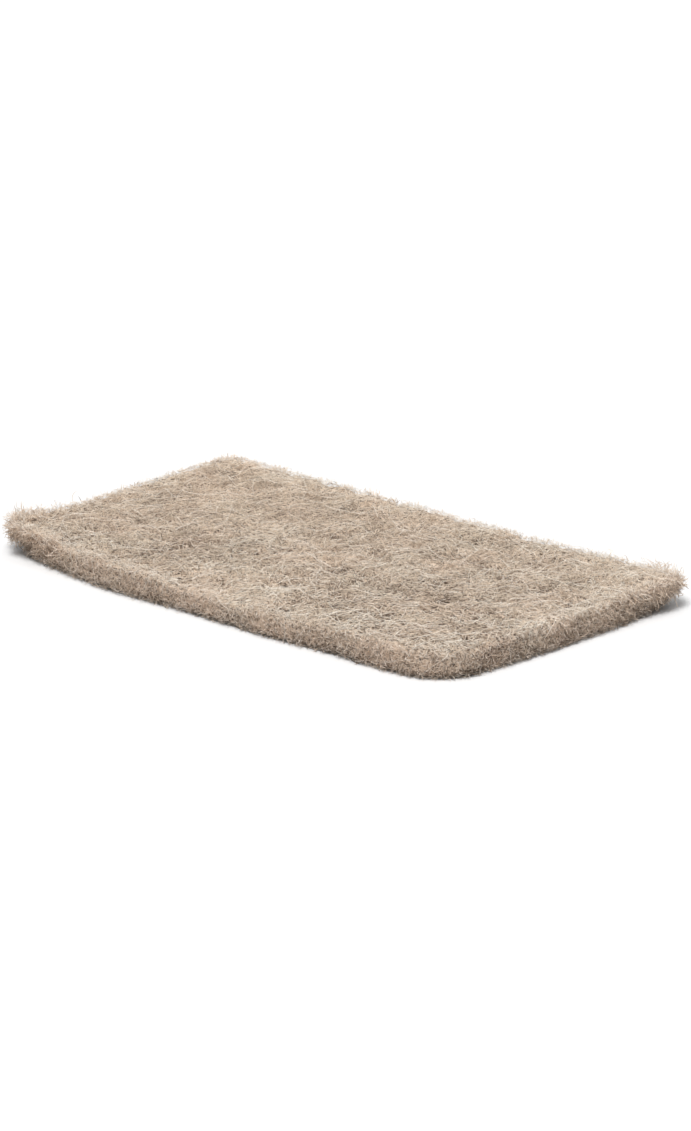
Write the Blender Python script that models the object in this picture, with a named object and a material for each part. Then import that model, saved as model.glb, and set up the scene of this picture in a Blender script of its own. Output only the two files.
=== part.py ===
"""A sisal scouring pad: one flat mat of felted plant fibre, lying on its face.

Units are metres, with +Z up. The pad's length runs along X and its width along Y.
Its underside lies at z = 0, and the origin is in the middle of that underside.
Front means the -Y side, and right the +X side.
"""

from math import pi, sin

import bmesh
import bpy
from mathutils import Vector, noise

# The slab that the felt fills: its hollows and dimples lie below the full thickness
LENGTH = 0.152
WIDTH = 0.087
THICKNESS = 0.0085

# How round each corner is cut in plan, and how soft the rims are worn
FRONT_RIGHT_RADIUS = 0.0140
FRONT_LEFT_RADIUS = 0.0080
BACK_LEFT_RADIUS = 0.0045
BACK_RIGHT_RADIUS = 0.0040
TOP_RIM_RADIUS = 0.0013
LOWER_RIM_RADIUS = 0.0026

# The front edge is cut askew near its left end. The front left corner and the back right
# one are worn away below, and curl up a little
ASKEW_CUT = 0.0060
ASKEW_LENGTH = 0.050
ASKEW_EASING = 1.2
CORNER_WEAR = 0.0040
CORNER_WEAR_REACH = 0.020
CORNER_WEAR_EASING = 1.5
CORNER_CURL = 0.0012
CORNER_CURL_REACH = 0.032

# The upper face is pressed down along the middle of the front edge
FRONT_DIP = 0.0014
FRONT_DIP_LENGTH = 0.110
FRONT_DIP_REACH = 0.022

# How far the felt strays from a true slab, and over what distance
HOLLOW_DEPTH = 0.0010
HOLLOW_SPAN = 0.045
DIMPLE_DEPTH = 0.0011
DIMPLE_SPAN = 0.0055
# The lumps' number at which a dimple has its full depth: it starts where that number is 0
DIMPLE_FULL = 0.35
# The share of their depth that the dimples keep at the rims, and how far in they reach it all
DIMPLE_AT_RIM = 0.35
DIMPLE_RIM_REACH = 0.008
EDGE_WANDER = 0.0009
EDGE_WANDER_SPAN = 0.022
WALL_LUMP_DEPTH = 0.0006
WALL_LUMP_SPAN = 0.006

# The layer of the noise that each kind of unevenness follows, so that each is its own pattern
HOLLOW_LAYER = 4.9
DIMPLE_LAYER = 5.3
EDGE_WANDER_LAYERS = (1.3, 2.7)
WALL_LUMP_LAYER = 3.1

# How finely the surface is divided
FACE_PITCH = 0.0024
WALL_ROWS = 3
CORNER_STEPS = 5
RIM_STEPS = 3

# Two points closer than this are the same point
SAME_POINT = 0.00005

FIBRE_COLOUR = (0.56, 0.45, 0.34, 1.0)
FIBRE_ROUGHNESS = 0.95


def clear_scene():
    for thing in list(bpy.data.objects):
        bpy.data.objects.remove(thing, do_unlink=True)


def round_the_edges(mesh, belongs, radius, steps):
    """Bevels every edge whose two ends both satisfy belongs(position)."""
    edges = [edge for edge in mesh.edges if all(belongs(end.co) for end in edge.verts)]
    bmesh.ops.bevel(
        mesh,
        geom=edges,
        offset=radius,
        offset_type="OFFSET",
        segments=steps,
        profile=0.5,
        affect="EDGES",
    )


def add_slab(mesh):
    """A plain block of the pad's size, standing on z = 0."""
    bmesh.ops.create_cube(mesh, size=1.0)
    bmesh.ops.scale(mesh, vec=(LENGTH, WIDTH, THICKNESS), verts=mesh.verts)
    bmesh.ops.translate(mesh, vec=(0, 0, THICKNESS / 2), verts=mesh.verts)


def round_the_corners(mesh):
    """Rounds the four upright corners, each to its own radius."""
    corners = (
        (1, -1, FRONT_RIGHT_RADIUS),
        (-1, -1, FRONT_LEFT_RADIUS),
        (-1, 1, BACK_LEFT_RADIUS),
        (1, 1, BACK_RIGHT_RADIUS),
    )
    for side_x, side_y, radius in corners:
        corner = Vector((side_x * LENGTH / 2, side_y * WIDTH / 2))
        round_the_edges(
            mesh,
            lambda place: (place.xy - corner).length < SAME_POINT,
            radius,
            CORNER_STEPS,
        )


def soften_the_rims(mesh):
    """Rounds the outline of the upper face and of the underside."""
    round_the_edges(
        mesh,
        lambda place: place.z > THICKNESS - SAME_POINT,
        TOP_RIM_RADIUS,
        RIM_STEPS,
    )
    round_the_edges(
        mesh,
        lambda place: place.z < SAME_POINT,
        LOWER_RIM_RADIUS,
        RIM_STEPS,
    )


def slice_across(mesh, axis, places):
    """Cuts the whole surface with a plane at each place along an axis, taking nothing away."""
    direction = Vector((0, 0, 0))
    direction[axis] = 1
    for place in places:
        bmesh.ops.bisect_plane(
            mesh,
            geom=[*mesh.verts, *mesh.edges, *mesh.faces],
            dist=SAME_POINT,
            plane_co=direction * place,
            plane_no=direction,
        )


def even_places(low, high, count):
    """The inner places that divide low to high into count equal steps."""
    return [low + (high - low) * step / count for step in range(1, count)]


def divide_the_surface(mesh):
    """Gives the faces and the wall enough points to carry the felt's unevenness."""
    slice_across(mesh, 0, even_places(-LENGTH / 2, LENGTH / 2, round(LENGTH / FACE_PITCH)))
    slice_across(mesh, 1, even_places(-WIDTH / 2, WIDTH / 2, round(WIDTH / FACE_PITCH)))
    slice_across(mesh, 2, even_places(LOWER_RIM_RADIUS, THICKNESS - TOP_RIM_RADIUS, WALL_ROWS))
    bmesh.ops.remove_doubles(mesh, verts=mesh.verts, dist=SAME_POINT)


def lumps(place, span, layer):
    """A smooth number between -1 and 1 that rises and falls over about one span."""
    return noise.noise(place / span + Vector((layer, layer, layer)))


def cut_askew(place):
    """How far a point moves back because the front edge's left end is cut askew."""
    from_left = place.x + LENGTH / 2
    share = max(0, 1 - from_left / ASKEW_LENGTH) ** ASKEW_EASING
    return Vector((0, ASKEW_CUT * share * (0.5 - place.y / WIDTH), 0))


def worn_and_curled(place):
    """How far a point moves because two corners are worn away below and curl up."""
    above = min(1, place.z / THICKNESS)
    move = Vector((0, 0, 0))
    for side in (-1, 1):
        corner = Vector((side * LENGTH / 2, side * WIDTH / 2))
        away = (place.xy - corner).length
        wear = CORNER_WEAR * max(0, 1 - away / CORNER_WEAR_REACH)
        wear *= (1 - above) ** CORNER_WEAR_EASING
        curl = CORNER_CURL * max(0, 1 - away / CORNER_CURL_REACH) * above
        move -= wear * Vector((side, side, 0)).normalized()
        move.z += curl
    return move


def eased(share):
    """The share, kept from 0 to 1, with a gentle start and a gentle end."""
    share = min(1, max(0, share))
    return share * share * (3 - 2 * share)


def dimple(plan):
    """How deep the dimples of the upper face are at a place. They fade towards the rims."""
    inside = min(LENGTH / 2 - abs(plan.x), WIDTH / 2 - abs(plan.y))
    kept = DIMPLE_AT_RIM + (1 - DIMPLE_AT_RIM) * eased(inside / DIMPLE_RIM_REACH)
    return DIMPLE_DEPTH * kept * eased(lumps(plan, DIMPLE_SPAN, DIMPLE_LAYER) / DIMPLE_FULL)


def front_dip(plan):
    """How much lower the upper face lies where it is pressed down along the front edge."""
    along = 1 - abs(plan.x) / (FRONT_DIP_LENGTH / 2)
    inward = 1 - (plan.y + WIDTH / 2) / FRONT_DIP_REACH
    return FRONT_DIP * eased(along) * eased(inward)


def strayed(place, outward):
    """Where a point of the true slab lies in the uneven felt.

    The front edge and two corners have their own shapes. The outline wanders as a
    whole, the wall bulges between its rims, and the upper face sinks into broad
    hollows, small dimples and the dip at the front. The underside stays flat.
    """
    plan = Vector((place.x, place.y, 0))
    height = place.z / THICKNESS
    sideways = [lumps(plan, EDGE_WANDER_SPAN, layer) for layer in EDGE_WANDER_LAYERS]
    wander = EDGE_WANDER * Vector((*sideways, 0))
    bulge = WALL_LUMP_DEPTH * lumps(place, WALL_LUMP_SPAN, WALL_LUMP_LAYER) * sin(pi * height)
    sink = HOLLOW_DEPTH * (1 + lumps(plan, HOLLOW_SPAN, HOLLOW_LAYER)) / 2
    sink += dimple(plan) + front_dip(plan)
    flat_outward = Vector((outward.x, outward.y, 0))
    shaped = place + cut_askew(place) + worn_and_curled(place)
    return shaped + wander + bulge * flat_outward - Vector((0, 0, sink * height))


def roughen(mesh):
    """Moves each point from the true slab to its place in the uneven felt."""
    mesh.normal_update()
    moved = [strayed(point.co, point.normal) for point in mesh.verts]
    for point, place in zip(mesh.verts, moved):
        point.co = place


def centre_on_origin(mesh):
    """Puts the middle of the pad's length and width back over the origin."""
    across = [point.co.xy for point in mesh.verts]
    low = Vector((min(place.x for place in across), min(place.y for place in across)))
    high = Vector((max(place.x for place in across), max(place.y for place in across)))
    middle = (low + high) / 2
    bmesh.ops.translate(mesh, vec=(-middle.x, -middle.y, 0), verts=mesh.verts)


def merge_the_underside(mesh):
    """Makes the flat underside one face."""
    flat = [face for face in mesh.faces if all(point.co.z < SAME_POINT for point in face.verts)]
    bmesh.ops.dissolve_faces(mesh, faces=flat, use_verts=False)


def sisal_felt():
    """The dull beige of undyed plant fibre."""
    material = bpy.data.materials.new("sisal_felt")
    material.use_nodes = True
    surface = material.node_tree.nodes["Principled BSDF"]
    surface.inputs["Base Color"].default_value = FIBRE_COLOUR
    surface.inputs["Roughness"].default_value = FIBRE_ROUGHNESS
    surface.inputs["Metallic"].default_value = 0.0
    return material


def make_pad():
    """The whole pad, one closed body."""
    mesh = bmesh.new()
    add_slab(mesh)
    round_the_corners(mesh)
    soften_the_rims(mesh)
    divide_the_surface(mesh)
    roughen(mesh)
    centre_on_origin(mesh)
    merge_the_underside(mesh)
    bmesh.ops.triangulate(mesh, faces=mesh.faces)
    bmesh.ops.recalc_face_normals(mesh, faces=mesh.faces)
    data = bpy.data.meshes.new("scouring_pad")
    mesh.to_mesh(data)
    mesh.free()
    data.shade_smooth()
    data.materials.append(sisal_felt())
    pad = bpy.data.objects.new("scouring_pad", data)
    bpy.context.scene.collection.objects.link(pad)


clear_scene()
make_pad()
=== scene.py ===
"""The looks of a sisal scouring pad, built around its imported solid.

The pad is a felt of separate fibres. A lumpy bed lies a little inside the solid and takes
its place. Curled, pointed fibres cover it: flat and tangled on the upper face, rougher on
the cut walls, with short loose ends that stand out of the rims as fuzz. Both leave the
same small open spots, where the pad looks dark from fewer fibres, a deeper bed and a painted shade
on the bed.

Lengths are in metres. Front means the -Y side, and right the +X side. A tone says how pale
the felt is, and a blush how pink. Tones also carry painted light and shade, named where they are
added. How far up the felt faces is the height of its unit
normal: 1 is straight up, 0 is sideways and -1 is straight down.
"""

from math import cos, pi, radians, sin
from typing import NamedTuple

import bpy
import numpy as np
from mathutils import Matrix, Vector, noise
from mathutils.bvhtree import BVHTree


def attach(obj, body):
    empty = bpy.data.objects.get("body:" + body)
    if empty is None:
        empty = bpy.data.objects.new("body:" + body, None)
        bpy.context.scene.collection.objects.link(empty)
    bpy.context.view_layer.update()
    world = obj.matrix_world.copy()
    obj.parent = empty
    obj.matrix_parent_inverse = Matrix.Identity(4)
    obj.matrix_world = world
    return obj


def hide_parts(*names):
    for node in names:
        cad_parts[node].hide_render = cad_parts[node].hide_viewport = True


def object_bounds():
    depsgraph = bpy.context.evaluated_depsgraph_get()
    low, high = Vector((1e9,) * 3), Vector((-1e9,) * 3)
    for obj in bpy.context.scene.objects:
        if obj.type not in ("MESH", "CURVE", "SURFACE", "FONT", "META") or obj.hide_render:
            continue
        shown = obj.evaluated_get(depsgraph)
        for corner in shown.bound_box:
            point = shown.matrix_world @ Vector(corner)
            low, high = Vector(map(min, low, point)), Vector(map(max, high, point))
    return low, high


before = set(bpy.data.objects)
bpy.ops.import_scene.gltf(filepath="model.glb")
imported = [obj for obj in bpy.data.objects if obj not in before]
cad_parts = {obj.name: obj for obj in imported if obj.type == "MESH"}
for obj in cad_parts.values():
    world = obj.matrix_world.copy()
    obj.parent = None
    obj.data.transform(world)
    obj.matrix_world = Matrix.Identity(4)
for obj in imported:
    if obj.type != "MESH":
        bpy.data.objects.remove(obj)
cad_low, cad_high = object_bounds()

NODE = "scouring_pad"
BODY = "root"

# The photograph's view of the pad, its scale, and how far left of its middle the pad lies
VIEW_AZIMUTH = radians(43.1)
VIEW_ELEVATION = radians(17.2)
LENS_MM = 300
SENSOR_MM = 36
FRAME_HEIGHT_PX = 1131
METRES_PER_PIXEL = 0.0002437
PAD_LEFT_OF_MIDDLE_PX = 12

# The strength of the sky's light at the horizon and overhead, and of the white that the
# camera sees in its place
HORIZON_LIGHT = 0.13
ZENITH_LIGHT = 0.6
SEEN_LIGHT = 1.0
# The key light's place in the sky, its strength, and how wide it is there
KEY_AZIMUTH = radians(33)
KEY_ELEVATION = radians(53)
KEY_STRENGTH = 3.05
KEY_SOFTNESS = radians(22)

# Half the floor's width, and how far below the pad it lies
FLOOR_HALF = 8
FLOOR_GAP = 0.0001
# How pale the floor is for the light that it throws on the pad, and as the camera sees it
FLOOR_BOUNCE = 0.22
FLOOR_WHITE = 0.9


class Pattern(NamedTuple):
    """Smooth noise that rises and falls over about one span. Each layer has its own noise."""

    span: float
    layer: float


# The patterns of the felt's unevenness. The dimples are those of the solid's own upper
# face, and the patches are of paler and darker fibre
BED_LUMPS = Pattern(0.0022, 0)
BLUSHES = Pattern(0.012, 6.1)
CLUMPS = Pattern(0.0024, 3.3)
DIMPLES = Pattern(0.0055, 5.3)
HOLES = Pattern(0.0045, 7.7)
PATCHES = (Pattern(0.008, 2.2), Pattern(0.022, 2.2))
SMALL_GAPS = Pattern(0.0017, 4.1)
TUFTS = Pattern(0.003, 9.4)

# The felt opens where its wide gaps and its small ones, each with its weight, add up to
# more than OPEN_ABOVE. The wide ones are the dimples where it faces further up than
# DIMPLES_ABOVE, and holes elsewhere
DIMPLES_ABOVE = 0.6
WIDE_WEIGHT = 2.2
SMALL_WEIGHT = 1.6
OPEN_ABOVE = 0.55
# How loose the felt of the cut walls is beside that of the upper face
WALL_LOOSENESS = 0.18

# How far inside the solid the bed lies, and how finely it is divided
BED_DEPTH = 0.0003
BED_VOXEL = 0.00095
# How high its lumps are, and how deep its open spots
BED_LUMP_HEIGHT = 0.0003
PIT_DEPTH = 0.0005
# How high the clumps at its upper rim are, and the share of that by which the rim sinks
RIM_LUMP_HEIGHT = 0.0007
RIM_SINK = 0.3
# How much darker the bed is painted in its open spots, a painted shade in the pits, and how much
# paler on its walls, a painted light in the gaps between the wall fibres
OPEN_SHADE = 0.3
WALL_FILL_LIGHT = 0.22

# How much paler or darker the felt is in patches
PATCH_TONE = 0.17
# A painted highlight at the rim of the upper face: how much paler fibres are painted there, how
# far in that reaches, the share of it that the bed has, and how far up the rim faces where it is
# palest
RIM_HIGHLIGHT = 0.42
RIM_REACH = 0.003
RIM_HIGHLIGHT_OF_BED = 0.8
RIM_FACES_UP = 0.5
# Painted contact shade: how much darker the walls are painted at their foot than at their rim, and
# how soon that fades where the felt no longer faces sideways
FOOT_SHADE = 0.2
FOOT_FADE = 2.5
# Painted shade of the deeper felt: how much paler fibres are painted for each metre that they lie
# higher, and the height where it ends
DEPTH_SHADE = 500
DEPTH_SHADE_LIMIT = 0.0003
# How pink the felt is, how much more so on the cut walls, and how much that differs from
# place to place
BLUSH = 0.25
WALL_BLUSH = 0.6
BLUSH_SPREAD = 0.5

# How much more the felt differs from fibre to fibre at the front right corner. Where it faces
# further up than FINER_ABOVE it differs as much less at the back left corner
COARSER = 0.85
FINER_ABOVE = 0.3
# The power of the coarseness that a fibre's thickness follows
THICKNESS_POWER = 0.6

# How high tufts stand, and the clumps of the fuzz
TUFT_HEIGHT = 0.00035
CLUMP_HEIGHT = 0.0012
# How much higher fuzz stands at the back left, and how much paler it is painted at the front
# right, a painted light there and a painted shade at the back left
FRAY_HEIGHT = 0.0003
FRAY_LIGHT = 0.1

# How many places are tried for each fibre, and how much the least liked ones are liked,
# where the best have about 1
TRIES_PER_FIBRE = 2
LEAST_LIKED = 0.05
# How strongly fuzz follows the pattern of clumps, and how much thinner it is for that
CLUMP_GATHERING = 2.5
CLUMP_THINNING = 0.5

# How far up the felt faces where each kind of fibre grows
TOP_ABOVE = 0.4
WALL_ABOVE = -0.97
WALL_BELOW = 0.8
UNDER_BELOW = -0.5
FUZZ_WITHIN = 0.96
CORNER_FUZZ_BELOW = 0.9
# The solid's walls face less up or down than this
STEEP_WITHIN = 0.5
# The walls have this much fuzz, and the rim, which faces further up than RIM_FUZZ_ABOVE, has
# 1 more. Towards the front right corner this share of it is lost, and as much is added
# towards the back left one
WALL_FUZZ = 0.35
RIM_FUZZ_ABOVE = 0.15
FUZZ_THINNING = 0.8
# The worn corners' fuzz grows above this share of the pad's height, and thins out over this
# distance from the corner. The back right corner has this share less
RAGGED_ABOVE = 0.45
RAGGED_REACH = 0.006
BACK_RIGHT_THINNING = 0.7

# How deep a fibre starts, and how much the axis of its curl wanders at each step
ROOT_DEPTH = 0.0003
AXIS_WANDER = 0.35
# The fibres' mean bend is this many times its spread
BEND_STEADINESS = 3

# A fibre is a tube with pointed ends. Between them its thickness follows a stretch of half a
# wave, raised to a power
SIDES_OF_A_FIBRE = 3
TAPER_STRETCH = (0.18, 0.82)
TAPER_POWER = 0.5
UPWARD = (0.0, 0.0, 1.0)
RIGHTWARD = (1.0, 0.0, 0.0)
# A fibre that starts higher than this is too upright for a side to be found from UPWARD
NEARLY_UPRIGHT = 0.8
# The least length that a vector is divided by
SHORTEST = 1e-12

# The map for baking, across by tone and up by blush: where it starts, how far it reaches, and
# how many of its pixels a fibre's face takes
BAKE_MAP = "OFBake"
BAKE_MAP_PIXEL = 1 / 1024
BAKE_MAP_START = (0.01, 0.02)
BAKE_MAP_REACH = (0.97, 0.9)
BAKE_MAP_STEP = (2, 5)

# The colours of the fibres and of the bed at tones from 0 to 1. The bed's are darker, partly as a
# painted shade of the felt that lies deeper
FIBRE_COLOURS = (
    (0.0, (0.17, 0.13, 0.10)),
    (0.25, (0.41, 0.33, 0.255)),
    (0.45, (0.65, 0.535, 0.43)),
    (0.6, (0.79, 0.67, 0.53)),
    (0.8, (0.90, 0.78, 0.64)),
    (1.0, (0.97, 0.90, 0.80)),
)
BED_COLOURS = (
    (0.0, (0.075, 0.055, 0.04)),
    (0.3, (0.24, 0.185, 0.14)),
    (0.6, (0.46, 0.37, 0.29)),
    (1.0, (0.76, 0.63, 0.50)),
)
# The colour of the pinkest felt is multiplied by this
PINK = (1.0, 0.935, 0.91, 1.0)
WHITE = (1.0, 1.0, 1.0, 1.0)

FIBRE_ROUGHNESS = 0.65
FIBRE_SHINE = 0.3
BED_ROUGHNESS = 0.9
BED_SHINE = 0.2
FLOOR_ROUGHNESS = 1.0
FLOOR_SHINE = 0.0
# How strongly the bed's finest strands stand out, and how high
BED_BUMP = 0.7
BED_BUMP_HEIGHT = 0.0003

# Those strands: the scale of each layer and its shift through the noise, and their detail,
# curl and width
STRAND_LAYERS = ((850, 0.0), (1000, 0.31), (1200, 0.67), (700, 0.93))
STRAND_DETAIL = 1.5
STRAND_CURL = 0.6
STRAND_WIDTH = 0.07
NOISE_MIDDLE = 0.5
# The dark specks between them, about a millimetre apart, a painted shade in the small gaps of the
# felt: where the noise starts a speck and fills it, and how dark that is
SPECK_SCALE = 900
SPECK_DETAIL = 1.0
SPECK_NOISE = (0.5, 0.68)
SPECK_SHADE = 0.36


class Growth(NamedTuple):
    """How one kind of fibre grows. Turns are in radians a step."""

    count: int
    seed: int
    # How many points its path has
    points: int
    # The least and the greatest length
    lengths: tuple
    # How steeply it leaves the felt: 0 lies flat, and 1 stands straight out
    rise: float
    # The share of its climb that it loses at each step
    flatten: float
    # The mean and the spread of the height that it keeps, and how hard it is drawn there
    height: float
    height_spread: float
    pull: float
    # How far it turns at each step
    bend: float
    # The least and the greatest radius
    radii: tuple
    tone: float
    tone_spread: float
    # 1 for fuzz, which gathers into clumps and stands higher at the back left, or else 0
    fuzzy: int = 0


TOP_CURLS = Growth(
    count=6500, seed=1, points=7, lengths=(0.0020, 0.0042), rise=0.08, flatten=0.65,
    height=0.0001, height_spread=0.0002, pull=0.22, bend=0.42,
    radii=(0.00004, 0.00007), tone=0.675, tone_spread=0.21,
)
TOP_STRANDS = Growth(
    count=16300, seed=2, points=4, lengths=(0.0018, 0.0038), rise=0.06, flatten=0.65,
    height=0.0001, height_spread=0.0002, pull=0.3, bend=0.3,
    radii=(0.00004, 0.00007), tone=0.675, tone_spread=0.21,
)
WALL_FIBRES = Growth(
    count=16300, seed=3, points=4, lengths=(0.0012, 0.0030), rise=0.25, flatten=0.1,
    height=0.0002, height_spread=0.0003, pull=0.2, bend=0.45,
    radii=(0.00003, 0.00005), tone=0.88, tone_spread=0.26,
)
UNDER_FIBRES = Growth(
    count=1200, seed=4, points=5, lengths=(0.003, 0.006), rise=0.05, flatten=0.5,
    height=0.0, height_spread=0.00008, pull=0.8, bend=0.45,
    radii=(0.00005, 0.0001), tone=0.6, tone_spread=0.25,
)
RIM_FUZZ = Growth(
    count=11000, seed=5, points=5, lengths=(0.0011, 0.0027), rise=0.5, flatten=0.0,
    height=0.0001, height_spread=0.00035, pull=0.12, bend=0.85,
    radii=(0.00005, 0.00009), tone=0.45, tone_spread=0.22, fuzzy=1,
)
TOP_NAP = Growth(
    count=1500, seed=6, points=6, lengths=(0.0012, 0.0026), rise=0.25, flatten=0.35,
    height=0.0005, height_spread=0.0003, pull=0.3, bend=0.42,
    radii=(0.00003, 0.00006), tone=0.74, tone_spread=0.22,
)
LONG_STRANDS = Growth(
    count=450, seed=7, points=14, lengths=(0.008, 0.016), rise=0.05, flatten=0.6,
    height=0.0005, height_spread=0.00015, pull=0.6, bend=0.16,
    radii=(0.00004, 0.00006), tone=0.93, tone_spread=0.08,
)
CORNER_FUZZ = Growth(
    count=1500, seed=8, points=7, lengths=(0.0026, 0.0052), rise=0.7, flatten=0.0,
    height=0.0029, height_spread=0.0009, pull=0.08, bend=0.75,
    radii=(0.000045, 0.00008), tone=0.5, tone_spread=0.2, fuzzy=1,
)


def unit(vectors):
    """The same vectors with length 1."""
    length = np.linalg.norm(vectors, axis=-1, keepdims=True)
    return vectors / np.maximum(length, SHORTEST)


def dot(vectors, others):
    """The dot product of each pair of vectors, as a column."""
    return (vectors * others).sum(1)[:, None]


def new_object(name, data):
    """A new object of the scene."""
    thing = bpy.data.objects.new(name, data)
    bpy.context.scene.collection.objects.link(thing)
    return thing


def noise_at(places, pattern):
    """The pattern's number at each place, from about -1 to 1."""
    shift = Vector((pattern.layer, pattern.layer, pattern.layer))
    return np.array([noise.noise(Vector(place) / pattern.span + shift) for place in places])


def upwardness(normals):
    """From 0 where the felt faces sideways or down to 1 where it faces straight up."""
    return np.clip(normals[:, 2], 0, 1)


def rim_upwardness(normals):
    """From 0 on an upright wall to 1 where the rounded rim leans well back."""
    return np.clip(normals[:, 2] / RIM_FACES_UP, 0, 1)


def looseness(normals):
    """How loose the felt is: 1 on the upper face, and less on the walls, which were cut."""
    return WALL_LOOSENESS + (1 - WALL_LOOSENESS) * upwardness(normals)


def towards_front_right(places):
    """From -1 at the back left corner to 1 at the front right one."""
    half = np.array(cad_high - cad_low)[:2] / 2
    return (places[:, 0] / half[0] - places[:, 1] / half[1]) / 2


def coarseness(places, normals):
    """How much the felt differs from fibre to fibre, where the middle of the pad has 1."""
    shift = towards_front_right(places)
    return 1 + COARSER * np.where(normals[:, 2] > FINER_ABOVE, shift, np.maximum(shift, 0))


def openness(places, normals):
    """How open the felt is at each place: 0 for most of it, and up to 1 in open spots."""
    dimples = noise_at(places * (1, 1, 0), DIMPLES)
    holes = noise_at(places, HOLES)
    wide = np.where(normals[:, 2] > DIMPLES_ABOVE, dimples, holes)
    small = noise_at(places, SMALL_GAPS)
    opened = WIDE_WEIGHT * wide + SMALL_WEIGHT * small - OPEN_ABOVE
    return looseness(normals) * np.clip(opened, 0, 1)


def patches(places):
    """How much paler the felt is at each place than on average."""
    return PATCH_TONE * sum(noise_at(places, pattern) for pattern in PATCHES)


def painted_rim_highlight(near_walls, normals):
    """How much paler the felt is painted at each place near the upper face's rim: a painted
    highlight.
    """
    return RIM_HIGHLIGHT * near_walls * rim_upwardness(normals)


def painted_foot_shade(places, normals):
    """How much darker the felt is painted at each place near the foot of a wall: a painted contact
    shade.
    """
    lower = 1 - places[:, 2] / cad_high.z
    return FOOT_SHADE * lower * np.clip(FOOT_FADE * (1 - np.abs(normals[:, 2])), 0, 1)


def blushes(places, normals):
    """How pink the felt is at each place, from 0 to 1."""
    more_on_walls = WALL_BLUSH * (1 - upwardness(normals))
    return np.clip(BLUSH + more_on_walls + BLUSH_SPREAD * noise_at(places, BLUSHES), 0, 1)


class Solid(NamedTuple):
    """The solid's triangles, and its surface and walls for finding the nearest point on them."""

    triangles: np.ndarray
    surface: BVHTree
    walls: BVHTree


def across(triangles):
    """A vector square to each triangle, twice as long as the triangle's area."""
    first, second, third = triangles.swapaxes(0, 1)
    return np.cross(second - first, third - first)


def tree_of(triangles):
    """The triangles, each given by its three corners, as a tree for finding the nearest point."""
    corners = np.arange(3 * len(triangles)).reshape(-1, 3)
    return BVHTree.FromPolygons(triangles.reshape(-1, 3).tolist(), corners.tolist())


def packed_solid():
    """The solid that the looks are built around."""
    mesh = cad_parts[NODE].data
    mesh.calc_loop_triangles()
    points = np.array([point.co for point in mesh.vertices])
    triangles = points[np.array([triangle.vertices for triangle in mesh.loop_triangles])]
    steep = np.abs(unit(across(triangles))[:, 2]) < STEEP_WITHIN
    return Solid(triangles, tree_of(triangles), tree_of(triangles[steep]))


def nearest(surface, places):
    """For each place, the nearest point of the surface and the normal there."""
    found = [surface.find_nearest(place)[:2] for place in places.tolist()]
    points, normals = zip(*found)
    return np.array(points), np.array(normals)


def nearness_to_walls(solid, places):
    """From 1 on the walls towards 0 in the middle of the upper face."""
    from_wall = np.array([solid.walls.find_nearest(place)[3] for place in places.tolist()])
    return np.exp(-from_wall / RIM_REACH)


def set_attributes(mesh, attributes):
    """Gives each point of the mesh its number for each named attribute."""
    for name, values in attributes.items():
        mesh.attributes.new(name, "FLOAT", "POINT").data.foreach_set("value", values)


def feed(tree, socket, value):
    """Gives a socket another node's output or a plain value."""
    if isinstance(value, bpy.types.NodeSocket):
        tree.links.new(value, socket)
    else:
        socket.default_value = value


def attribute(tree, name):
    """The mesh's attribute of this name."""
    node = tree.nodes.new("ShaderNodeAttribute")
    node.attribute_name = name
    return node.outputs["Fac"]


def computed(tree, operation, *values):
    """What a Math node makes of the values."""
    node = tree.nodes.new("ShaderNodeMath")
    node.operation = operation
    for socket, value in zip(node.inputs, values):
        feed(tree, socket, value)
    return node.outputs[0]


def highest(tree, values):
    """The highest of the values."""
    top = values[0]
    for value in values[1:]:
        top = computed(tree, "MAXIMUM", top, value)
    return top


def mapped(tree, value, old_range, new_range):
    """The value moved from the old range to the new one, and kept inside that."""
    node = tree.nodes.new("ShaderNodeMapRange")
    feed(tree, node.inputs["Value"], value)
    for name, end in zip(("From Min", "From Max", "To Min", "To Max"), (*old_range, *new_range)):
        feed(tree, node.inputs[name], end)
    return node.outputs["Result"]


def grain(tree, place, scale, detail, distortion=0.0):
    """Smooth noise around a middle value."""
    node = tree.nodes.new("ShaderNodeTexNoise")
    feed(tree, node.inputs["Vector"], place)
    feed(tree, node.inputs["Scale"], scale)
    feed(tree, node.inputs["Detail"], detail)
    feed(tree, node.inputs["Distortion"], distortion)
    return node.outputs["Fac"]


def coloured(tree, tone, colours):
    """The colour for a tone, from (tone, colour) stops, the first at 0 and the last at 1."""
    node = tree.nodes.new("ShaderNodeValToRGB")
    feed(tree, node.inputs["Fac"], tone)
    elements = node.color_ramp.elements
    for stop, _ in colours[1:-1]:
        elements.new(stop)
    for element, (_, colour) in zip(elements, colours):
        element.color = (*colour, 1)
    return node.outputs["Color"]


def mixed(tree, blend, factor, first, second):
    """The first colour, changed by the second as far as the factor says."""
    node = tree.nodes.new("ShaderNodeMix")
    node.data_type = "RGBA"
    node.blend_type = blend
    feed(tree, node.inputs["Factor"], factor)
    feed(tree, node.inputs["A"], first)
    feed(tree, node.inputs["B"], second)
    return node.outputs["Result"]


def pinker(tree, colour):
    """The colour, turned towards pink as far as the felt's blush says."""
    return mixed(tree, "MULTIPLY", attribute(tree, "blush"), colour, PINK)


def new_material(name, roughness, shine):
    """A material, its node tree, and its surface with this roughness and shine."""
    material = bpy.data.materials.new(name)
    material.use_nodes = True
    tree = material.node_tree
    surface = tree.nodes["Principled BSDF"]
    surface.inputs["Roughness"].default_value = roughness
    surface.inputs["Specular IOR Level"].default_value = shine
    return material, tree, surface


def fibre_material():
    """Dry plant fibre: each fibre has its own tone of straw, which also carries painted light and
    shade, with a faint silky shine.
    """
    material, tree, surface = new_material("sisal_fibre", FIBRE_ROUGHNESS, FIBRE_SHINE)
    straw = coloured(tree, attribute(tree, "tone"), FIBRE_COLOURS)
    feed(tree, surface.inputs["Base Color"], pinker(tree, straw))
    return material


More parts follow.
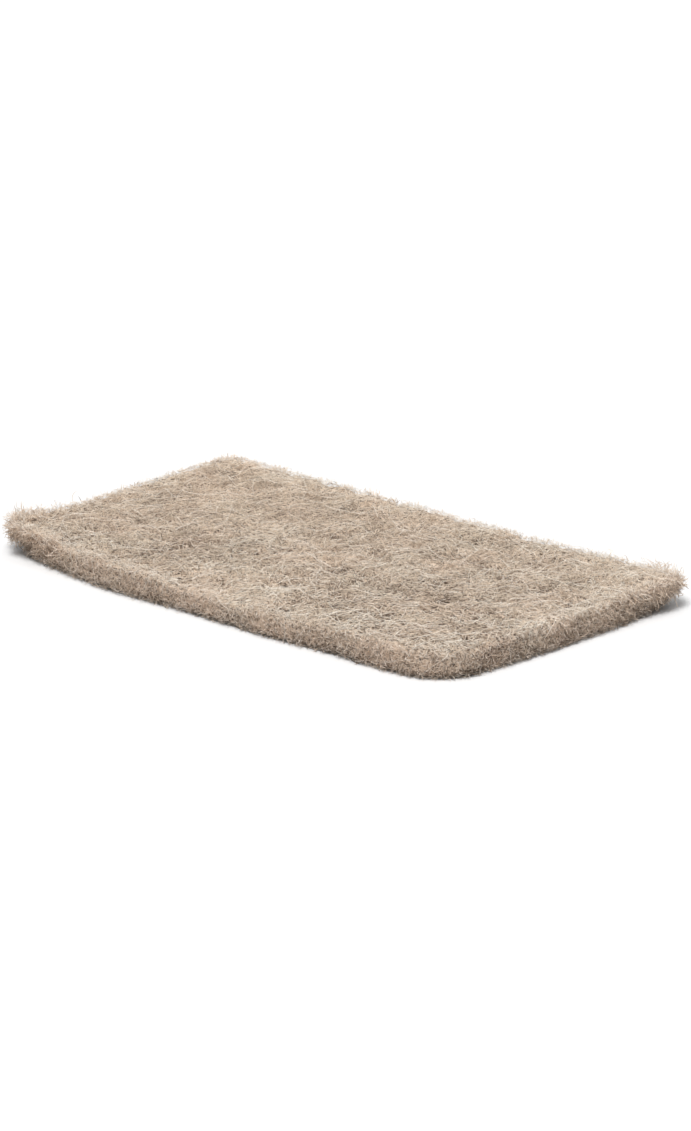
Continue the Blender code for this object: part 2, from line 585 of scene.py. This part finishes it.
def strands(tree, place, scale, shift):
    """Thin curling lines: the places where a noise passes through its middle value."""
    moved = tree.nodes.new("ShaderNodeVectorMath")
    moved.operation = "ADD"
    feed(tree, moved.inputs[0], place)
    feed(tree, moved.inputs[1], (shift, shift, shift))
    fine = grain(tree, moved.outputs[0], scale, STRAND_DETAIL, STRAND_CURL)
    from_middle = computed(tree, "SUBTRACT", fine, NOISE_MIDDLE)
    distance = computed(tree, "ABSOLUTE", from_middle)
    return mapped(tree, distance, (0.0, STRAND_WIDTH), (1.0, 0.0))


def speck_shade(tree, place):
    """How much darker the bed is painted in the specks between its strands: a painted shade in the
    gaps.
    """
    fine = grain(tree, place, SPECK_SCALE, SPECK_DETAIL)
    darker = mapped(tree, fine, SPECK_NOISE, (0.0, SPECK_SHADE))
    return computed(tree, "MULTIPLY", darker, attribute(tree, "looseness"))


def bed_material():
    """The felt between the fibres: finer strands of brown and straw, one layer on another, painted
    darker than the fibres, partly as the shade of the deeper felt.
    """
    material, tree, surface = new_material("felt_bed", BED_ROUGHNESS, BED_SHINE)
    place = tree.nodes.new("ShaderNodeTexCoord").outputs["Object"]
    felt = highest(tree, [strands(tree, place, scale, shift) for scale, shift in STRAND_LAYERS])
    patched = computed(tree, "ADD", felt, attribute(tree, "tone"))
    # A painted shade in the specks between the strands
    tone = computed(tree, "SUBTRACT", patched, speck_shade(tree, place))
    colour = coloured(tree, tone, BED_COLOURS)
    feed(tree, surface.inputs["Base Color"], pinker(tree, colour))
    bump = tree.nodes.new("ShaderNodeBump")
    feed(tree, bump.inputs["Strength"], BED_BUMP)
    feed(tree, bump.inputs["Distance"], BED_BUMP_HEIGHT)
    feed(tree, bump.inputs["Height"], felt)
    feed(tree, surface.inputs["Normal"], bump.outputs["Normal"])
    return material


def remeshed_solid(name):
    """A copy of the solid whose points are evenly spread."""
    copy = new_object(name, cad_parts[NODE].data.copy())
    remesh = copy.modifiers.new("even", "REMESH")
    remesh.mode = "VOXEL"
    remesh.voxel_size = BED_VOXEL
    graph = bpy.context.evaluated_depsgraph_get()
    even = bpy.data.meshes.new_from_object(copy.evaluated_get(graph))
    copy.modifiers.clear()
    copy.data = even
    return copy


def places_and_normals(mesh):
    """The place and the normal of each point of the mesh."""
    places, normals = np.empty((2, 3 * len(mesh.vertices)))
    mesh.vertices.foreach_get("co", places)
    mesh.vertex_normals.foreach_get("vector", normals)
    return places.reshape(-1, 3), normals.reshape(-1, 3)


def bed_depths(places, normals, openings, near_walls):
    """How far inside the solid the bed lies at each place."""
    bulges = BED_LUMP_HEIGHT * looseness(normals) * noise_at(places, BED_LUMPS)
    rim_lumps = noise_at(places, CLUMPS) - RIM_SINK
    bulges += RIM_LUMP_HEIGHT * near_walls * rim_upwardness(normals) * rim_lumps
    return BED_DEPTH - bulges + PIT_DEPTH * openings


def bed_tones(places, normals, openings, near_walls):
    """What each place adds to the tone of the bed's strands: random patches, painted shade in open
    spots and at the walls' foot, and painted light at the rim and on the walls.
    """
    # Random patches, and a painted shade in the open spots
    tones = patches(places) - OPEN_SHADE * coarseness(places, normals) * openings
    # A painted highlight at the upper rim, and painted light on the walls
    bed_rim_highlight = RIM_HIGHLIGHT_OF_BED * painted_rim_highlight(near_walls, normals)
    tones += bed_rim_highlight + WALL_FILL_LIGHT * (1 - upwardness(normals))
    # A painted contact shade towards the foot of the walls
    return tones - painted_foot_shade(places, normals)


def make_bed(material, solid):
    """The felt below the fibres: the solid remeshed evenly, drawn in and made lumpy."""
    bed = remeshed_solid("felt_bed")
    mesh = bed.data
    places, normals = places_and_normals(mesh)
    openings = openness(places, normals)
    near_walls = nearness_to_walls(solid, places)
    set_attributes(
        mesh,
        {
            "tone": bed_tones(places, normals, openings, near_walls),
            "blush": blushes(places, normals),
            "looseness": looseness(normals) * coarseness(places, normals),
        },
    )
    depths = bed_depths(places, normals, openings, near_walls)
    mesh.vertices.foreach_set("co", (places - normals * depths[:, None]).ravel())
    mesh.shade_smooth()
    mesh.materials.clear()
    mesh.materials.append(material)
    return bed


def facing_up(normals, middles):
    """The upper face."""
    return normals[:, 2] > TOP_ABOVE


def facing_out(normals, middles):
    """The walls, with their rims."""
    return (normals[:, 2] < WALL_BELOW) & (normals[:, 2] > WALL_ABOVE)


def facing_down(normals, middles):
    """The underside."""
    return normals[:, 2] < UNDER_BELOW


def along_the_rims(normals, middles):
    """Most at the upper face's rounded rim and at the back left, and some on the walls."""
    upright = np.abs(normals[:, 2]) < FUZZ_WITHIN
    frayed = 1 - FUZZ_THINNING * towards_front_right(middles)
    return upright * (WALL_FUZZ + (normals[:, 2] > RIM_FUZZ_ABOVE)) * frayed


def at_the_worn_corners(normals, middles):
    """The upper walls next to the front left corner and the back right one, which are ragged."""
    size = np.array(cad_high - cad_low)
    worn = np.sign(middles[:, 0]) == np.sign(middles[:, 1])
    upper = (middles[:, 2] > RAGGED_ABOVE * size[2]) & (normals[:, 2] < CORNER_FUZZ_BELOW)
    from_corner = (size[:2] / 2 - np.abs(middles[:, :2])).sum(axis=1)
    thinned = 1 - BACK_RIGHT_THINNING * (middles[:, 0] > 0)
    return worn * upper * np.exp(-from_corner / RAGGED_REACH) * thinned


def random_feet(triangles, wanted, growth, rng):
    """Random places on the triangles that wanted(normals, middles) weighs, and their normals.

    Few lie in the felt's open spots. Those of fuzz also gather into clumps.
    """
    first, second, third = triangles.swapaxes(0, 1)
    square = across(triangles)
    weight = np.linalg.norm(square, axis=1) * wanted(unit(square), triangles.mean(axis=1))
    tries = TRIES_PER_FIBRE * growth.count
    chosen = rng.choice(len(triangles), tries, p=weight / weight.sum())
    shares = rng.random((2, tries, 1))
    along, aside = np.where(shares.sum(axis=0) > 1, 1 - shares, shares)
    places = first[chosen] + along * (second - first)[chosen] + aside * (third - first)[chosen]
    normals = unit(square)[chosen]
    liking = 1 + LEAST_LIKED - openness(places, normals)
    gathered = growth.fuzzy * (CLUMP_GATHERING * noise_at(places, CLUMPS) - CLUMP_THINNING)
    liking *= np.clip(1 + gathered, LEAST_LIKED, 1)
    luck = rng.random(tries) ** (1 / liking)
    kept = np.argsort(-luck)[:growth.count]
    return places[kept], normals[kept]


def kept_heights(feet, normals, growth, rng):
    """The height above the surface that each fibre keeps, as a column."""
    spread = rng.normal(0, growth.height_spread, (growth.count, 1))
    tufts = TUFT_HEIGHT * looseness(normals) * noise_at(feet, TUFTS)
    clumps = CLUMP_HEIGHT * noise_at(feet, CLUMPS)
    frays = FRAY_HEIGHT * -towards_front_right(feet)
    middle = growth.height + tufts + growth.fuzzy * (clumps + frays)
    return spread * coarseness(feet, normals)[:, None] + middle[:, None]


def turned(headings, axes, angles):
    """Headings turned about their axes."""
    along = dot(axes, headings) * axes
    cosine, sine = np.cos(angles)[:, None], np.sin(angles)[:, None]
    return headings * cosine + np.cross(axes, headings) * sine + along * (1 - cosine)


def curled_paths(surface, feet, normals, heights, growth, rng):
    """Paths that curl through the felt and are drawn back to the height that each keeps."""
    count, steps = growth.count, growth.points - 1
    step = (rng.uniform(*growth.lengths, count) / steps)[:, None]
    in_plane = unit(np.cross(normals, rng.normal(size=(count, 3))))
    heading = unit(in_plane * (1 - growth.rise) + normals * growth.rise)
    places = feet - normals * ROOT_DEPTH
    axes = unit(rng.normal(size=(count, 3)))
    turns = rng.normal(growth.bend, growth.bend / BEND_STEADINESS, count)
    path = [places]
    for _ in range(steps):
        near, ups = nearest(surface, places)
        too_high = dot(places - near, ups) - heights
        axes = unit(axes + AXIS_WANDER * rng.normal(size=(count, 3)))
        heading = turned(heading, axes, turns)
        climb = dot(heading, ups)
        heading = heading - ups * (growth.flatten * climb + growth.pull * too_high / step)
        heading = unit(heading)
        places = places + heading * step
        path.append(places)
    return np.stack(path, 1)


def square_to(along):
    """Two directions square to a fibre at each ring, carried along it without twist."""
    start = along[:, 0]
    spare = np.where(np.abs(start[:, 2:]) < NEARLY_UPRIGHT, UPWARD, RIGHTWARD)
    side = unit(np.cross(start, spare))
    sides = []
    for ring in range(along.shape[1]):
        ahead = along[:, ring]
        side = unit(side - ahead * dot(side, ahead))
        sides.append(side)
    sides = np.stack(sides, 1)
    return sides, np.cross(along, sides)


def tube_points(paths, radii):
    """The points of a pointed tube along each path: its tip, each ring in turn, and its end."""
    rings = paths.shape[1] - 2
    side, above = square_to(unit(paths[:, 2:] - paths[:, :-2]))
    taper = np.sin(pi * np.linspace(*TAPER_STRETCH, rings)) ** TAPER_POWER
    reach = (radii[:, None] * taper)[:, :, None, None]
    angle = 2 * pi * np.arange(SIDES_OF_A_FIBRE)[:, None] / SIDES_OF_A_FIBRE
    spokes = np.cos(angle) * side[:, :, None, :] + np.sin(angle) * above[:, :, None, :]
    ring_points = (paths[:, 1:-1, None, :] + reach * spokes).reshape(len(paths), -1, 3)
    return np.concatenate([paths[:, :1], ring_points, paths[:, -1:]], axis=1)


def one_fibre_faces(rings):
    """A fibre's faces as lists of its vertices, and each corner's place round and along it."""
    sides = SIDES_OF_A_FIBRE
    tip, end = 0, 1 + sides * rings
    faces, shifts = [], []
    for side in range(sides):
        this, other = side, (side + 1) % sides
        faces.append([tip, 1 + other, 1 + this])
        shifts.append([(side, 0), (side + 1, 1), (side, 1)])
        for ring in range(rings - 1):
            near, far = 1 + sides * ring, 1 + sides * (ring + 1)
            faces.append([near + this, near + other, far + other, far + this])
            shifts.append(
                [(side, ring + 1), (side + 1, ring + 1), (side + 1, ring + 2), (side, ring + 2)]
            )
        last = 1 + sides * (rings - 1)
        faces.append([last + this, last + other, end])
        shifts.append([(side, rings), (side + 1, rings), (side, rings + 1)])
    return faces, shifts


def add_bake_map(mesh, shifts, tones, blush):
    """Lays each fibre on the map by its tone and blush, so that it shares pixels with its like."""
    shift = np.array([place for face in shifts for place in face]) * BAKE_MAP_PIXEL
    spots = BAKE_MAP_START + np.stack([tones, blush], -1)[:, None] * BAKE_MAP_REACH
    layer = mesh.uv_layers.new(name=BAKE_MAP)
    corners = (spots + shift * BAKE_MAP_STEP).astype(np.float32)
    layer.uv.foreach_set("vector", corners.ravel())


def fibre_object(name, paths, radii, tones, blush):
    """One object of pointed tubes along the paths. Tones and blush have a number for each."""
    points = tube_points(paths, radii)
    count, per_fibre = points.shape[:2]
    faces, shifts = one_fibre_faces(paths.shape[1] - 2)
    starts = range(0, count * per_fibre, per_fibre)
    mesh = bpy.data.meshes.new(name)
    mesh.from_pydata(
        points.reshape(-1, 3).tolist(),
        [],
        [[start + corner for corner in face] for start in starts for face in faces],
    )
    set_attributes(
        mesh,
        {"tone": np.repeat(tones, per_fibre), "blush": np.repeat(blush, per_fibre)},
    )
    add_bake_map(mesh, shifts, tones, blush)
    mesh.shade_smooth()
    return new_object(name, mesh)


def fibre_tones(solid, feet, normals, heights, growth, rng):
    """How pale each fibre is, from 0 to 1: its own tone and random patches, with painted shade and
    light.
    """
    spread = rng.normal(0, growth.tone_spread, growth.count)
    tones = growth.tone + spread * coarseness(feet, normals)
    # A painted shade: fibres that lie lower are darker
    tones += DEPTH_SHADE * np.minimum(heights[:, 0], DEPTH_SHADE_LIMIT)
    # Random patches, and a painted highlight at the upper rim
    tones += patches(feet) + painted_rim_highlight(nearness_to_walls(solid, feet), normals)
    # A painted light on the fuzz towards the front right, and a painted contact shade at the foot
    # of the walls
    tones += FRAY_LIGHT * growth.fuzzy * towards_front_right(feet) - painted_foot_shade(feet, normals)
    return np.clip(tones, 0, 1)


def add_fibres(name, material, solid, wanted, growth):
    """A piece of fibres of one growth, above the floor, riding on the pad's body."""
    rng = np.random.default_rng(growth.seed)
    feet, normals = random_feet(solid.triangles, wanted, growth, rng)
    heights = kept_heights(feet, normals, growth, rng)
    paths = curled_paths(solid.surface, feet, normals, heights, growth, rng)
    thicker = np.maximum(coarseness(feet, normals), 1) ** THICKNESS_POWER
    radii = rng.uniform(*growth.radii, growth.count) * thicker
    paths[:, :, 2] = np.maximum(paths[:, :, 2], radii[:, None])
    tones = fibre_tones(solid, feet, normals, heights, growth, rng)
    fibres = fibre_object(name, paths, radii, tones, blushes(feet, normals))
    fibres.data.materials.append(material)
    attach(fibres, BODY)


def direction(azimuth, elevation):
    """From the pad towards a place round it. The azimuth runs from the front to the right."""
    level = cos(elevation)
    return Vector((sin(azimuth) * level, -cos(azimuth) * level, sin(elevation)))


def face_the_pad(thing, towards):
    """Turns a camera or lamp that stands in this direction to face the pad."""
    thing.rotation_mode = "QUATERNION"
    thing.rotation_quaternion = (-towards).to_track_quat("-Z", "Y")


def make_camera():
    """A long lens, which sees the pad from the photograph's side and height."""
    lens = bpy.data.cameras.new("camera")
    lens.lens = LENS_MM
    lens.sensor_width = SENSOR_MM
    camera = new_object("camera", lens)
    back = direction(VIEW_AZIMUTH, VIEW_ELEVATION)
    face_the_pad(camera, back)
    right = camera.rotation_quaternion @ Vector(RIGHTWARD)
    middle = (cad_low + cad_high) / 2 + right * PAD_LEFT_OF_MIDDLE_PX * METRES_PER_PIXEL
    distance = LENS_MM / SENSOR_MM * FRAME_HEIGHT_PX * METRES_PER_PIXEL
    camera.location = middle + back * distance
    bpy.context.scene.camera = camera


def make_key_light():
    """A lamp far off in one direction, as wide in the sky as its softness."""
    lamp = bpy.data.lights.new("key_light", "SUN")
    lamp.energy = KEY_STRENGTH
    lamp.angle = KEY_SOFTNESS
    face_the_pad(new_object("key_light", lamp), direction(KEY_AZIMUTH, KEY_ELEVATION))


def seen_directly(tree):
    """1 for what the camera sees directly, in a mirror or through glass, and otherwise 0."""
    rays = tree.nodes.new("ShaderNodeLightPath").outputs
    kinds = ("Is Camera Ray", "Is Glossy Ray", "Is Transmission Ray")
    return highest(tree, [rays[kind] for kind in kinds])


def make_world():
    """White light from all round, strongest overhead, which the camera sees as plain white."""
    world = bpy.data.worlds.new("studio")
    world.use_nodes = True
    tree = world.node_tree
    sky = tree.nodes.new("ShaderNodeTexCoord").outputs["Generated"]
    parts = tree.nodes.new("ShaderNodeSeparateXYZ")
    feed(tree, parts.inputs[0], sky)
    light = tree.nodes["Background"]
    strength = mapped(tree, parts.outputs["Z"], (0.0, 1.0), (HORIZON_LIGHT, ZENITH_LIGHT))
    feed(tree, light.inputs["Color"], WHITE)
    feed(tree, light.inputs["Strength"], strength)
    white = tree.nodes.new("ShaderNodeBackground")
    feed(tree, white.inputs["Color"], WHITE)
    feed(tree, white.inputs["Strength"], SEEN_LIGHT)
    mix = tree.nodes.new("ShaderNodeMixShader")
    feed(tree, mix.inputs["Fac"], seen_directly(tree))
    feed(tree, mix.inputs[1], light.outputs[0])
    feed(tree, mix.inputs[2], white.outputs[0])
    feed(tree, tree.nodes["World Output"].inputs["Surface"], mix.outputs[0])
    bpy.context.scene.world = world


def grey(value):
    """A grey as pale as the value."""
    return (value, value, value, 1)


def make_floor():
    """A wide white floor that keeps the pad's soft shadow."""
    mesh = bpy.data.meshes.new("floor")
    half = FLOOR_HALF
    mesh.from_pydata(
        [(-half, -half, 0), (half, -half, 0), (half, half, 0), (-half, half, 0)],
        [],
        [(0, 1, 2, 3)],
    )
    floor = new_object("floor", mesh)
    floor.location.z = cad_low.z - FLOOR_GAP
    material, tree, surface = new_material("white_floor", FLOOR_ROUGHNESS, FLOOR_SHINE)
    colour = mixed(tree, "MIX", seen_directly(tree), grey(FLOOR_BOUNCE), grey(FLOOR_WHITE))
    feed(tree, surface.inputs["Base Color"], colour)
    mesh.materials.append(material)


def make_pad():
    """The bed in place of the solid, and the fibres over it."""
    solid = packed_solid()
    bed = make_bed(bed_material(), solid)
    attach(bed, BODY)
    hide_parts(NODE)
    straw = fibre_material()
    for name, wanted, growth in (
        ("top_curls", facing_up, TOP_CURLS),
        ("top_strands", facing_up, TOP_STRANDS),
        ("wall_fibres", facing_out, WALL_FIBRES),
        ("under_fibres", facing_down, UNDER_FIBRES),
        ("rim_fuzz", along_the_rims, RIM_FUZZ),
        ("top_nap", facing_up, TOP_NAP),
        ("long_strands", facing_up, LONG_STRANDS),
        ("corner_fuzz", at_the_worn_corners, CORNER_FUZZ),
    ):
        add_fibres(name, straw, solid, wanted, growth)


make_camera()
make_world()
make_floor()
make_key_light()
make_pad()
bpy.context.scene.view_settings.view_transform = "Standard"
